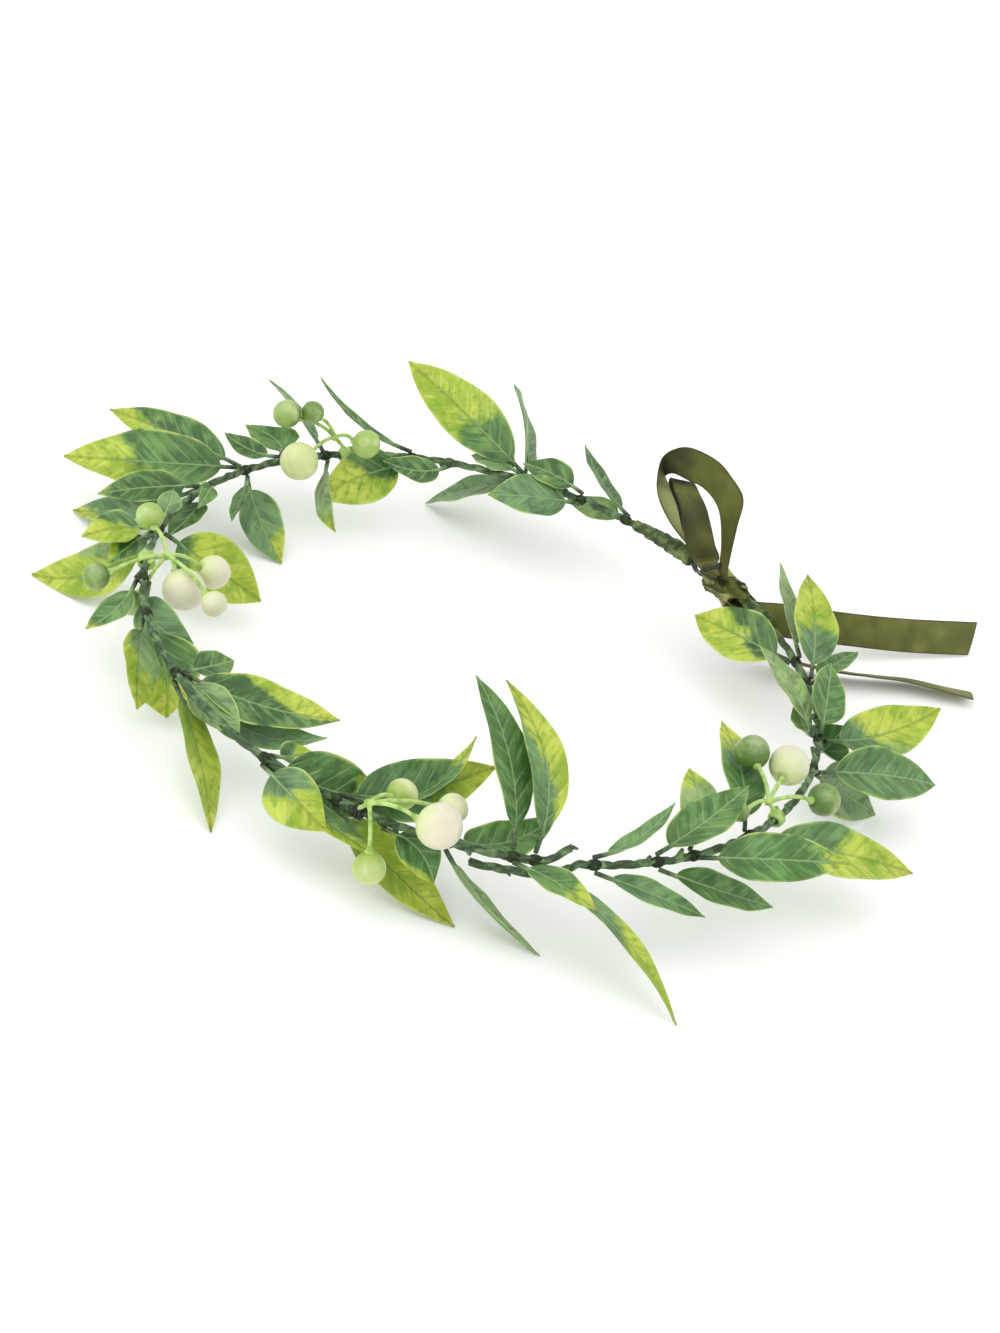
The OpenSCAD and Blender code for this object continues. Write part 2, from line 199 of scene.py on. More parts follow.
def close_tree(tree, shape, material=None):
    """The last nodes of a tree: instances made real, smooth shading and the finish"""
    shape = add(tree, "GeometryNodeRealizeInstances", shape)
    shape = add(tree, "GeometryNodeSetShadeSmooth", shape)
    if material is not None:
        shape = add(tree, "GeometryNodeSetMaterial", shape, None, material)
    tree.links.new(shape.socket, tree.nodes.new("NodeGroupOutput").inputs[0])


def grow(name, tree, points, edges=(), marks=None, **sizes):
    """A plain mesh grown by a tree from seed points, their edges and the values marked on them"""
    seed = bpy.data.meshes.new(name)
    seed.from_pydata([tuple(p) for p in points], list(edges), [])
    for key, rows in (marks or {}).items():
        is_vector = hasattr(rows[0], "__len__")
        layer = seed.attributes.new(key, "FLOAT_VECTOR" if is_vector else "FLOAT", "POINT")
        for item, row in zip(layer.data, rows):
            setattr(item, "vector" if is_vector else "value", row)
    piece = bpy.data.objects.new(name, seed)
    scene.collection.objects.link(piece)
    grower = piece.modifiers.new("grow", "NODES")
    grower.node_group = tree
    for socket in tree.interface.items_tree:
        if socket.in_out == "INPUT" and socket.name in sizes:
            grower[socket.identifier] = sizes[socket.name]
    grown = bpy.data.meshes.new_from_object(piece.evaluated_get(bpy.context.evaluated_depsgraph_get()))
    piece.modifiers.clear()
    piece.data = grown
    if grown.materials and grown.materials[0] is None:
        grown.materials.pop(index=0)
    return piece


def blend(tree, share, first, second):
    """One colour turning into another as share goes from 0 to 1"""
    made = tree.nodes.new("ShaderNodeMix")
    made.data_type = "RGBA"
    for socket, value in ((made.inputs[0], share), (made.inputs[6], first), (made.inputs[7], second)):
        plug(tree, socket, value)
    return Flow(tree, made.outputs[2])


def mottle(tree, scale, detail, over=None):
    """Cloudy noise over the piece's own place, or over another vector"""
    over = add(tree, "ShaderNodeTexCoord", out="Object") if over is None else over
    return add(tree, "ShaderNodeTexNoise", named={"Vector": over, "Scale": scale, "Detail": detail})


def feed(tree, colour, height, depth, strength=1.0, rough=None):
    """Joins a colour, a bump height of so much depth and a roughness to the shader of a finish"""
    shader = tree.nodes["Principled BSDF"]
    plug(tree, shader.inputs["Base Color"], colour)
    bump = add(tree, "ShaderNodeBump", named={"Strength": strength, "Distance": depth, "Height": height})
    plug(tree, shader.inputs["Normal"], bump)
    if rough is not None:
        plug(tree, shader.inputs["Roughness"], rough)


def ready(piece, slot, *nodes):
    """Puts a finished piece on the crown in place of its nodes"""
    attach(piece, "root")
    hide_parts(*nodes)


RING_RADIUS, RING_HEIGHT = 0.093, 0.022


def spot(station, out=0, rise=0):
    """A point near the ring: its station in degrees, then millimetres outward and upward"""
    a = math.radians(station)
    r = RING_RADIUS + out / 1000
    return Vector((r * math.cos(a), r * math.sin(a), RING_HEIGHT + rise / 1000))


def along_ring(station):
    """The way that the ring runs at a station"""
    a = math.radians(station)
    return Vector((-math.sin(a), math.cos(a), 0))


def chain(points, first=0):
    """Edges that join points in a row, of which the first has this number"""
    return [(i, i + 1) for i in range(first, first + len(points) - 1)]


wrap, wrap_tree = finish("wrapped stem", 0.55)
patches = mottle(wrap_tree, 260.0, 5.0)
grain = mottle(wrap_tree, 1900.0, 3.0)
wrap_colour = blend(wrap_tree, patches.ramp(0.42, 0.66), paint(0.20, 0.30, 0.17), paint(0.44, 0.55, 0.36))
feed(wrap_tree, wrap_colour, height=grain, depth=0.0003)

# A core, three strands wound round it, and short cones for the nubs.
stem_tree, path, thickness, pitch, nub_gap, nub_size, seed, cover = new_tree(
    "wrapped stem", thickness=0.0024, pitch=0.017, nub_gap=0.009, nub_size=0.0010, seed=3, cover=wrap)
line = add(stem_tree, "GeometryNodeMeshToCurve", path)
line = add(stem_tree, "GeometryNodeResampleCurve", line, named={"Length": 0.0009}, mode="LENGTH")
lumps = add(stem_tree, "ShaderNodeTexNoise", named={"Scale": 160.0, "Detail": 2.0})
round_cut = add(stem_tree, "GeometryNodeCurvePrimitiveCircle", 12, named={"Radius": 1.0})
core_size = thickness * 0.28 * (lumps * 0.4 + 0.8)
core = add(stem_tree, "GeometryNodeCurveToMesh", line, round_cut, core_size, True)
run_so_far = add(stem_tree, "GeometryNodeSplineParameter", out="Length")
outward = add(stem_tree, "GeometryNodeInputPosition").do("MULTIPLY", (1.0, 1.0, 0.0)).do("NORMALIZE")
strands = [core]
for phase, size in ((0.0, 0.24), (2.4, 0.2), (4.4, 0.16)):
    twist = run_so_far * (2 * math.pi) / pitch + phase + (lumps - 0.5) * 2.5
    aside = outward * twist.do("COSINE") + add(stem_tree, "ShaderNodeCombineXYZ", 0.0, 0.0, twist.do("SINE"))
    wound = add(stem_tree, "GeometryNodeSetPosition", line, None, None, aside * (thickness * (0.48 - size)))
    strands.append(add(stem_tree, "GeometryNodeCurveToMesh", wound, round_cut, thickness * size, True))
nub_spots = add(stem_tree, "GeometryNodeCurveToPoints", line, named={"Length": nub_gap}, mode="LENGTH")
spin = add(stem_tree, "FunctionNodeRandomValue", out=1, named={"Seed": seed}, data_type="FLOAT")
side_on = add(stem_tree, "FunctionNodeRandomValue", (-1, -1, -1), (1, 1, 1), named={"Seed": seed},
              data_type="FLOAT_VECTOR")
along = Flow(stem_tree, nub_spots.socket.node.outputs["Tangent"])
aside = along.do("CROSS_PRODUCT", side_on).do("NORMALIZE")
lean = aside + along * 0.9
facing = add(stem_tree, "FunctionNodeAlignRotationToVector", named={"Vector": lean}, axis="Z")
nub = add(stem_tree, "GeometryNodeMeshCone", named={
    "Vertices": 9, "Side Segments": 3, "Radius Top": 0.45, "Radius Bottom": 1.0, "Depth": 2.6})
nubs = add(stem_tree, "GeometryNodeInstanceOnPoints", named={
    "Points": nub_spots, "Instance": nub, "Rotation": facing, "Scale": nub_size * (spin * 0.7 + 0.45)})
close_tree(stem_tree, join(stem_tree, *strands, nubs), cover)

left_path = [spot(station) for station in range(106, 334, 2)]
left_path += [spot(333.4, 0, 0.2), spot(335, -0.7, 1.9), spot(337, -1.5, 4)]
right_path = [spot(station, 0, -4.1) for station in range(322, 336, 2)] + [spot(336, 0, -2.6), spot(338.5)]
right_path += [spot(station) for station in range(340, 450, 2)]
for stem_name, stem_path, stem_seed in (("stem_left", left_path, 3), ("stem_right", right_path, 8)):
    stem = grow(stem_name + "_wrapped", stem_tree, stem_path, chain(stem_path), seed=stem_seed)
    ready(stem, "stem", stem_name)


# Leaves
# Each leaf is a thin stiffened cloth blade, pressed with a midrib and side veins, printed blue-green
# with a lime tip and brushed darker by hand. Its moulded petiole clips onto the stem.

# Where each whorl sits on the ring, in degrees.
WHORLS = [117, 126, 137, 151, 158, 175, 184, 193, 204, 222, 238, 248, 264, 287,
          300, 308, 318, 328, 331.5, 341, 352, 359, 372, 398, 407, 424, 430]
# A leaf with this rise lies down, with its tip so many millimetres above the floor.
LYING = -90
TIP_LIFT = 0.4
# Side veins: millimetres from one to the next along the midrib, and how far they slant toward the tip.
VEIN_GAP, VEIN_SLANT = 4.4, 0.95

# Whorl, heading from outward, rise and roll in degrees, length, width, sideways bow and arch in millimetres,
# then where the lime tip starts along the blade, how far that leans across it, and how pale the green is.
# A start of 1.25 leaves the whole leaf green. The paleness goes from 0, deep green, to 3, pale grey green.
LEAVES = [
    (1, 51.5, 10, 25, 32.4, 9.4, 0.5, -1.5, 1.25, 0, 0.1),
    (1, 71, -15.9, -35, 23.19, 8.2, -1, -1, 1.2, 0, 3),
    (2, 117, -6, -20, 28, 15.6, 0.5, 1.5, 0.9, 0, 2),
    (2, 86.5, 9.8, -17.5, 20.22, 11.6, -0.5, 1, 1.25, 0, 0),
    (3, 58.5, 15, -37.5, 51.5, 16.8, 0.25, 3, 0.34, 0, 1.1),
    (3, 16.3, 17.8, 60, 38.06, 15.4, -1, 2, 1.15, 0, 1.2),
    (3, 72, LYING, -12.5, 34.5, 13.2, -0.25, 1.25, 1.25, 0, 2.3),
    (3, 72, 0, -10, 17.6, 12, 0.5, 2, 1.25, 0, 2.3),
    (5, 52, 19.1, 10, 35.63, 5.2, 3.5, -2, 1.18, 0, 0.2),
    (4, 106.2, 1, -21, 21.65, 9.6, 3, 0, 1.25, 0, 0),
    (5, 112.5, -18, -55, 31.9, 16.4, -1.75, -0.25, 0.36, 0.4, 0.4),
    (6, 163, -20, 80, 27.4, 9.8, 0, 2, 0.73, 0, 2.7),
    (6, 5.5, 10, 30, 33.4, 8.8, 0, 1, 1.2, 0, 1.6),
    (7, 29, 2, -20, 19, 7.4, 0.5, -2, 1.25, 0, 0),
    (7, -5.7, -3.1, -5, 21.06, 14.6, -4.75, -1, 1.08, 0, 0.8),
    (8, 20.7, 1, -20, 43.11, 14.2, 0, 1, 0.63, 0.2, 0.4),
    (8, 45.8, -7.3, -25, 50.64, 20, 1.5, 2, 0.55, 0.2, 0.7),
    (8, 190, LYING, 25, 28.4, 13.2, 0.5, -4, 0.82, 0.2, 2.1),
    (8, 127, -29, 55, 17, 7.2, 1, 0, 1.25, 0, 0),
    (9, 114.9, 2.4, -30, 12.89, 5.4, -1, 3.25, 1.25, 0, 0.8),
    (9, 16.5, LYING, -10, 41, 16.4, 3, -1, 0.78, 0.2, 2),
    (9, 45, -10, -20, 29.7, 11, 0, 1, 1, 0, 0.1),
    (9, 97, -22, 25, 19.9, 10.4, 1.5, 0, 1.25, 0, 0),
    (10, 15.5, LYING, -35, 37.4, 15.2, 5.5, -1.75, 0.12, 0.5, 3),
    (10, 60, -20, 5, 18, 9.6, 0.5, 1, 0.77, -0.5, 0.3),
    (10, 181, -20, 50, 33.4, 17.6, 0.5, -3.5, 0.19, 0.1, 1.4),
    (10, 31.8, -8.8, -15, 21.15, 11.6, 0, 1.5, 0.18, 0.6, 1.4),
    (10, -86, 30, 0, 13, 6.6, -0.5, 0.5, 1.2, 0, 2.4),
    (11, 52, -20, 10, 22.4, 8.8, 2, -0.5, 0.83, 0, 1.4),
    (11, 132.6, -16.6, 30, 22.88, 11.4, -5.25, 1.25, 1.2, 0, 1.9),
    (12, 80.8, -21.5, -40, 29.53, 14.2, -1, 0, 0.41, -0.2, 2.6),
    (12, 108, -42.9, 32.5, 27.39, 19.4, 2, 0, 0.52, -0.2, 1.2),
    (13, 143.5, 0, 15, 42.7, 15.6, -2.25, -1, 0.76, 0.6, 0),
    (13, 111.5, -10, 20, 23.6, 11.4, 0, 0, 1.25, 0, 2.7),
    (13, 86, LYING, -30, 42.6, 13, 0.5, 1.5, 0.07, -0.1, 3),
    (13, 130.1, 0.6, 7.5, 41.95, 13.4, 0.25, -9.25, 1.25, 0, 1.9),
    (13, 189, 0, 15, 18, 9.4, -0.5, 0.5, 1.08, 0, 0.1),
    (14, 156, 0, 5, 13.6, 9.4, 0, -1, 0.43, -0.2, 0),
    (14, 86, -16, 62.5, 24.1, 14.6, 1, 3, 0.38, -0.2, 1.7),
    (14, 132.5, -10, 45, 30.5, 17.4, -3.75, 3.5, 0.77, 0, 0.5),
    (15, 146, 3, 42.5, 46.9, 15.6, -2, -3.25, 0.62, -0.2, 2),
    (15, 154.5, 10, -30, 44.3, 10, -2, -7.75, 0.81, 0, 1.4),
    (14, 94.9, -11.2, 10, 38.8, 6.8, -1.75, -0.75, 0.59, -0.2, 1.6),
    (16, 79, -30, 20, 19.4, 12.2, 2.5, 1, 1.11, -0.8, 1.3),
    (15, 96, LYING, 18.5, 43.1, 14.2, 2, -4.75, 0.05, 0, 3),
    (17, 125.5, 7, 5, 30.7, 12.8, -1.25, -5, 1.06, 0, 1.1),
    (17, 80, LYING, -25, 37, 11, 3.5, -2.5, 1.2, 0, 3),
    (18, 209.2, 44.2, 15, 44.85, 14.6, -4.9, 0.5, 1.1, 0, 0.7),
    (18, 56.5, -3.8, 0, 24.12, 10.8, 0, 1, 0.66, 0, 1.1),
    (19, 198.2, 39.9, 10, 45.04, 12.4, -7.6, 0.5, 0.45, -0.4, 1.5),
    (19, 52, LYING, -12.5, 52.3, 9.4, 2.25, 4, 0.45, 0, 2.3),
    (20, 72.5, -15, 5, 31.8, 9.4, -1, 1, 1.25, 0, 1.7),
    (20, 119, 20, -30, 28.6, 7.8, -0.5, -2.5, 1.25, 0, 1.4),
    (21, 110, 20, -10, 34.4, 13.8, -0.5, -0.75, 1.25, 0, 1.1),
    (21, 70.1, -15.8, 10, 34.99, 11.4, -1.75, 1, 1.25, 0, 0.7),
    (22, 49, 15.4, 25, 38.6, 14.4, -1.75, 3.5, 0.86, 0, 0.9),
    (22, 147, 10, -5, 30.3, 10.4, -2, 2, 0.67, 0, 3),
    (23, 55.5, -10, 22.5, 50.29, 15.8, 0.25, 1.75, 0.36, -0.2, 1.5),
    (23, 139.7, 5.4, 12.5, 43.58, 13.2, -1.5, 1.5, 0.72, 0, 1.3),
    (24, 38.8, -9.6, 30, 42.96, 15.6, 0.25, 2, 1.07, 0, 1.4),
    (24, 49, LYING, 55, 38.7, 15.2, 1, -2.75, 1.25, 0, 2.4),
    (25, 35.7, 9.3, 20, 40.44, 15.8, -2, -2, 0.38, 0.2, 1.5),
    (25, 131, 20, 5, 12.8, 7.8, -1.25, -3.25, 0.76, 0, 3),
    (25, 134.5, 20, 10, 31.3, 10.8, 0, 1.5, 1, 0, 3),
    (25, 89.5, 17.5, 25, 28.04, 12.2, 0, 0.25, 1.07, 0, 0.8),
    (25, 58.1, -3, 15, 14.58, 14.4, -0.5, -6, 1.25, 0, 0.3),
    (26, 81.3, 20.9, 10, 37.9, 14, -1, 1, 0.34, 0, 1.7),
    (26, 41, 2, -15, 27, 8.4, 0.5, 0.5, 1.25, 0, 0.7),
    (27, 84, 20, 35, 34.6, 9.8, 1, 0, 1.03, 0, 3),
    (27, 126, -8, -32.5, 34.2, 17.4, 0.5, 1.75, 0.4, 0.3, 0),
]


def marked(tree, name, out="Vector"):
    """A mark that the mesh carries, for the finish to read; Fac gives a mark of one number"""
    return add(tree, "ShaderNodeAttribute", out=out, attribute_name=name)


leaf_paint, leaf_tree = finish("pressed cloth leaf", 0.48, Subsurface_Weight=0.08,
                               Subsurface_Radius=(0.002, 0.004, 0.001), Subsurface_Scale=0.5)
side_at, face_at, along_at = marked(leaf_tree, "blade").parts()
across_mm, reach_mm, lean = marked(leaf_tree, "leaf_mm").parts()
lime_from, tone, leaf_seed = marked(leaf_tree, "look").parts()
clouds = mottle(leaf_tree, 110.0, 4.0)
brush = mottle(leaf_tree, 420.0, 6.0)
fine = mottle(leaf_tree, 2400.0, 2.0)
slanted = reach_mm - abs(across_mm) * VEIN_SLANT
vein_run = slanted / VEIN_GAP + side_at.do("SIGN") * 0.2 + (brush - 0.5) * 0.25 + leaf_seed
vein_off = abs(vein_run.do("FRACT") - 0.5) * VEIN_GAP
vein = (1 - vein_off.ramp(0.05, 0.6)) * (1 - abs(side_at).ramp(0.5, 0.95)) * clouds.ramp(0.3, 0.55)
midrib = 1 - abs(across_mm).ramp(0.12, 0.5)
pleat = add(leaf_tree, "ShaderNodeCombineXYZ", slanted * 0.42, across_mm * 0.2, leaf_seed * 40)
streaks = mottle(leaf_tree, 1.0, 4.0, over=pleat)
# The printed green, then pale patches and pale streaks that are partly painted sheen highlights, dark streaks
# and brush marks.
deep_to_mid = blend(leaf_tree, tone.ramp(0.0, 1.0), paint(0.15, 0.28, 0.12), paint(0.25, 0.42, 0.18))
mid_to_grey = blend(leaf_tree, tone.ramp(1.0, 2.0), deep_to_mid, paint(0.40, 0.52, 0.39))
green = blend(leaf_tree, tone.ramp(2.0, 3.0), mid_to_grey, paint(0.62, 0.69, 0.46))
# Pale patches, a little lighter toward the edges: partly paler print, partly painted sheen highlights.
sheen_and_pale_patches = clouds * 0.7 + brush * 0.3 + abs(side_at) * 0.08
green = blend(leaf_tree, sheen_and_pale_patches.ramp(0.47, 0.64) * 0.55, green, paint(0.44, 0.59, 0.29))
green = blend(leaf_tree, clouds.ramp(0.54, 0.38) * 0.5, green, paint(0.25, 0.41, 0.09))
green = blend(leaf_tree, streaks.ramp(0.50, 0.68) * 0.52, green, paint(0.12, 0.26, 0.15))
# Pale streaks: partly painted sheen highlights.
green = blend(leaf_tree, streaks.ramp(0.50, 0.32) * 0.40, green, paint(0.49, 0.66, 0.40))
green = blend(leaf_tree, brush.ramp(0.56, 0.70) * 0.32, green, paint(0.14, 0.28, 0.13))
green = blend(leaf_tree, along_at.ramp(0.35, 0.0) * 0.4, green, paint(0.12, 0.26, 0.11))
green = blend(leaf_tree, vein * 0.45 + midrib * 0.65, green, paint(0.54, 0.67, 0.42))
# The lime tip, warmer toward its end.
lime = blend(leaf_tree, clouds.ramp(0.38, 0.64), paint(0.54, 0.64, 0.13), paint(0.70, 0.75, 0.27))
lime = blend(leaf_tree, along_at.ramp(0.7, 1.0) * brush.ramp(0.4, 0.6) * 0.7, lime, paint(0.76, 0.70, 0.24))
lime = blend(leaf_tree, brush.ramp(0.52, 0.68) * 0.6, lime, paint(0.37, 0.53, 0.12))
lime = blend(leaf_tree, streaks.ramp(0.47, 0.35) * 0.45, lime, paint(0.76, 0.80, 0.36))
lime = blend(leaf_tree, streaks.ramp(0.54, 0.66) * 0.4, lime, paint(0.42, 0.57, 0.13))
lime = blend(leaf_tree, vein * 0.2 + midrib * 0.3, lime, paint(0.38, 0.53, 0.15))
edge_of_lime = (along_at + side_at * lean + (clouds - 0.5) * 0.5 - vein * 0.06 - midrib * 0.12
                + (brush - 0.5) * 0.3)
is_lime = (edge_of_lime - lime_from).ramp(-0.1, 0.07)
colour = blend(leaf_tree, is_lime, green, lime)
# The pale cut edge and the paler back.
rim = abs(side_at).ramp(0.88, 1.0) * clouds.ramp(0.35, 0.55)
colour = blend(leaf_tree, rim * 0.85, colour, paint(0.72, 0.79, 0.42))
underside = face_at.ramp(0.05, -0.05)
colour = blend(leaf_tree, underside * 0.45, colour, paint(0.52, 0.62, 0.44))
relief = vein * -0.5 + midrib * -0.8 + brush * 0.4 + fine * 0.15
feed(leaf_tree, colour, height=relief, depth=0.0004, strength=0.8, rough=brush * 0.3 + 0.36)

petiole_paint, petiole_tree = finish("moulded petiole", 0.45)
reach_at = marked(petiole_tree, "blade").parts()[2]
specks = mottle(petiole_tree, 700.0, 3.0)
bark = blend(petiole_tree, specks.ramp(0.4, 0.65), paint(0.12, 0.18, 0.09), paint(0.26, 0.36, 0.15))
petiole_colour = blend(petiole_tree, (reach_at + specks * 0.1).ramp(0.08, 0.3), bark, paint(0.50, 0.64, 0.40))
feed(petiole_tree, petiole_colour, height=specks, depth=0.0002)


def unpack(tree, name, kind="FLOAT_VECTOR"):
    """The value of a mark that the seed points carry"""
    return add(tree, "GeometryNodeInputNamedAttribute", name, data_type=kind)


def keep(tree, shape, name, value, kind="FLOAT_VECTOR"):
    """Stores a value on the points, for the finish to read"""
    return add(tree, "GeometryNodeStoreNamedAttribute", shape, None, name, value, data_type=kind)


blades, leaf_points, blade_t, rib_r, fold, around, lengthwise, blade_paint, rib_paint = new_tree(
    "leaf", blade_thickness=0.0005, rib_radius=0.00055, fold=0.22, around=36, lengthwise=40,
    blade_paint=leaf_paint, rib_paint=petiole_paint)
base, tip, side, rise, form = (unpack(blades, key) for key in ("base", "tip", "side", "rise", "form"))
width, bow, arch = form.parts()
share = unpack(blades, "share", "FLOAT")


def spine_at(t):
    """The leaf's midline, bowed and arched, at a share t of the way from the stem to the tip"""
    hump = t * (1 - t) * 4
    return base + (tip - base) * t + side * (bow * hump) + rise * (arch * hump)


# Each blade is a flattened tube. On it v runs from edge to edge, -1 to 1, w from back to face, and u from
# the petiole to the tip, 0 to 1. Its outline is widest 0.41 of the way up, where the factor gives full width.
to_full_width = 1.473
quilt_height = 0.00016
unit_tube = add(blades, "GeometryNodeMeshCylinder", around, lengthwise, named={"Radius": 1.0, "Depth": 1.0})
unit_place = add(blades, "GeometryNodeInputPosition")
unit_tube = keep(blades, unit_tube, "blade", unit_place + (0.0, 0.0, 0.5))
tubes = add(blades, "GeometryNodeInstanceOnPoints", named={"Points": leaf_points, "Instance": unit_tube})
tubes = add(blades, "GeometryNodeRealizeInstances", tubes)
v, w, u = unpack(blades, "blade").parts()
u = u.do("MAXIMUM", 0.0).do("MINIMUM", 1.0)
half = (width * to_full_width * u ** 0.65 * (1 - u) ** 0.95).do("MAXIMUM", 0.0003)
seed_of = unpack(blades, "look").parts()[2]
blade_long = add(blades, "ShaderNodeVectorMath", tip - base, operation="LENGTH", out="Value") * (1 - share)
vein_turn = (u * blade_long * 1000 - abs(v) * half * (1000 * VEIN_SLANT)) / VEIN_GAP
vein_turn = vein_turn + v.do("SIGN") * 0.2 + seed_of
quilt = (vein_turn * 2 * math.pi).do("COSINE") * (1 - v * v) * abs(v).ramp(0.05, 0.35)
ripple = (u * 14 + seed_of * 9 + v * 1.5).do("SINE") * abs(v) ** 2 * u.ramp(0.0, 0.25) * half
lift = (v * v + 0.02) ** 0.5 * half * fold + quilt * quilt_height + ripple * 0.05 - half * 0.02
body = w * blade_t * (1.1 - u * 0.5) * 0.5
shaped = spine_at(share + (1 - share) * u) + side * (half * v) + rise * (lift + body)
tubes = keep(blades, tubes, "leaf_mm", add(
    blades, "ShaderNodeCombineXYZ", v * half * 1000, u * blade_long * 1000, unpack(blades, "lean", "FLOAT")))
tubes = add(blades, "GeometryNodeSetPosition", tubes, None, shaped)
tubes = add(blades, "GeometryNodeSetMaterial", tubes, None, blade_paint)

# One rod is both petiole and midrib. It thins toward the tip and sinks into the blade.
rib_line = add(blades, "GeometryNodeCurvePrimitiveLine", (0, 0, 0), (0, 0, 1))
rib_line = add(blades, "GeometryNodeResampleCurve", rib_line, named={"Count": 26})
rib_line = keep(blades, rib_line, "blade", unit_place)
ribs = add(blades, "GeometryNodeInstanceOnPoints", named={"Points": leaf_points, "Instance": rib_line})
ribs = add(blades, "GeometryNodeRealizeInstances", ribs)
t = unpack(blades, "blade").parts()[2]
sunk = (t - share).ramp(0.0, 0.12) * 0.0003
ribs = add(blades, "GeometryNodeSetPosition", ribs, None, spine_at(t * 0.98) - rise * sunk)
rib_cut = add(blades, "GeometryNodeCurvePrimitiveCircle", 10, named={"Radius": 1.0})
ribs = add(blades, "GeometryNodeCurveToMesh", ribs, rib_cut, rib_r * (1.15 - t.ramp(0.0, 1.0) * 0.95), True)
ribs = add(blades, "GeometryNodeSetMaterial", ribs, None, rib_paint)

# A small bead round the stem is where the petioles of a whorl meet.
clip = add(blades, "GeometryNodeMeshUVSphere", 16, 10, 1.0)
on_stem = add(blades, "FunctionNodeAlignRotationToVector", named={"Vector": unpack(blades, "clip")}, axis="Z")
clips = add(blades, "GeometryNodeInstanceOnPoints", named={
    "Points": leaf_points, "Instance": clip, "Rotation": on_stem, "Scale": (0.0015, 0.0015, 0.0021)})
clips = add(blades, "GeometryNodeRealizeInstances", clips)
clips = keep(blades, clips, "blade", (0.0, 0.0, 0.0))
clips = add(blades, "GeometryNodeSetMaterial", clips, None, rib_paint)
close_tree(blades, join(blades, tubes, ribs, clips))


def rounded(vector):
    """A vector as a mark on a seed point"""
    return tuple(round(c, 6) for c in vector)


petiole_foot = 0.0019
for whorl, station in enumerate(WHORLS, 1):
    run = along_ring(station)
    marks = {key: [] for key in ("base", "tip", "side", "rise", "form", "share", "look", "lean", "clip")}
    points = []
    for row_number, row in enumerate(LEAVES):
        owner, heading, lifted, roll, long, wide, bowed, arched, lime_start, lime_lean, leaf_tone = row
        if owner != whorl:
            continue
        if lifted == LYING:
            lifted = -math.degrees(math.asin((RING_HEIGHT * 1000 - TIP_LIFT) / long))
        a, r, q = (math.radians(x) for x in (station + heading, lifted, roll))
        ahead = Vector((math.cos(r) * math.cos(a), math.cos(r) * math.sin(a), math.sin(r)))
        flat = Vector((-math.sin(a), math.cos(a), 0))
        leaf_side = math.cos(q) * flat + math.sin(q) * ahead.cross(flat)
        square_out = ahead - ahead.dot(run) * run + Vector((0, 0, 0.01))
        points.append(spot(station))
        marks["base"].append(rounded(spot(station) + petiole_foot * square_out.normalized()))
        marks["tip"].append(rounded(spot(station) + long / 1000 * ahead))
        marks["side"].append(rounded(leaf_side))
        marks["rise"].append(rounded(ahead.cross(leaf_side)))
        marks["form"].append((wide / 1000, bowed / 1000, arched / 1000))
        petiole_long = 3 + 0.05 * long
        marks["share"].append(petiole_long / long)
        marks["look"].append((lime_start, leaf_tone, row_number * 0.37 % 1))
        marks["lean"].append(lime_lean)
        marks["clip"].append(rounded(run))
    name = f"leaf_whorl_{whorl:02d}"
    ready(grow(name + "_leaves", blades, points, marks=marks), "leaf", name)


# Berries and their stalks
# Round satin berries, white, pale and green, stand on thin pale stalks that fork from the stem.
# The foot of each spray is wound round the stem, and the third is wired on in black.

# Spray, station, out, up, diameter, tint, and how ripe it is within its tint.
BERRIES = [
    (1, 184, 3.5, 13.5, 8, "green", 0.1),
    (1, 180, 0.5, 15, 6.4, "green", 0.85),
    (1, 185.5, -8.5, 5.5, 10.8, "pale", 0.0),
    (1, 170, -7, 8, 8.2, "pale", 0.8),
    (2, 228, 2, 9, 7.4, "pale", 0.9),
    (2, 238, 12, -2, 7.2, "green", 0.75),
    (2, 237.5, 1, -8.5, 6.8, "green", 0.3),
    (2, 238, -11, -1, 11.4, "white", 0.0),
    (2, 232, -18, 1, 9, "white", 0.1),
    (2, 246, -17.5, 3, 6.8, "white", 0.3),
    (3, 309, -6, 5, 7.8, "pale", 0.0),
    (3, 316, 5.6, 7.8, 11.4, "white", 0.0),
    (3, 317.5, -9, 3.5, 7.8, "white", 0.4),
    (3, 308.7, 9.4, -7.9, 8.2, "pale", 0.35),
    (4, 25, -14.4, 9, 9, "green", 1.0),
    (4, 28, -5, 7.8, 10.6, "white", 0.1),
    (4, 28, 6.8, 3.2, 8.8, "green", 0.8),
    (4, 12, -5, 4, 5, "green", 0.9),
]
# The station of the foot, then the station, out and up of the fork.
SPRAYS = [(171, 174, 0, 6), (232.5, 234.5, -5, 5), (304, 305.5, 4, 6), (20, 19, -3, 4)]
# The colours when unripe, when ripe, and round the stalk.
BERRY_COLOURS = {
    "white": (paint(0.82, 0.80, 0.72), paint(0.74, 0.79, 0.52), paint(0.80, 0.83, 0.62)),
    "pale": (paint(0.76, 0.80, 0.55), paint(0.55, 0.68, 0.28), paint(0.58, 0.68, 0.30)),
    "green": (paint(0.58, 0.68, 0.36), paint(0.36, 0.50, 0.16), paint(0.34, 0.46, 0.18)),
}

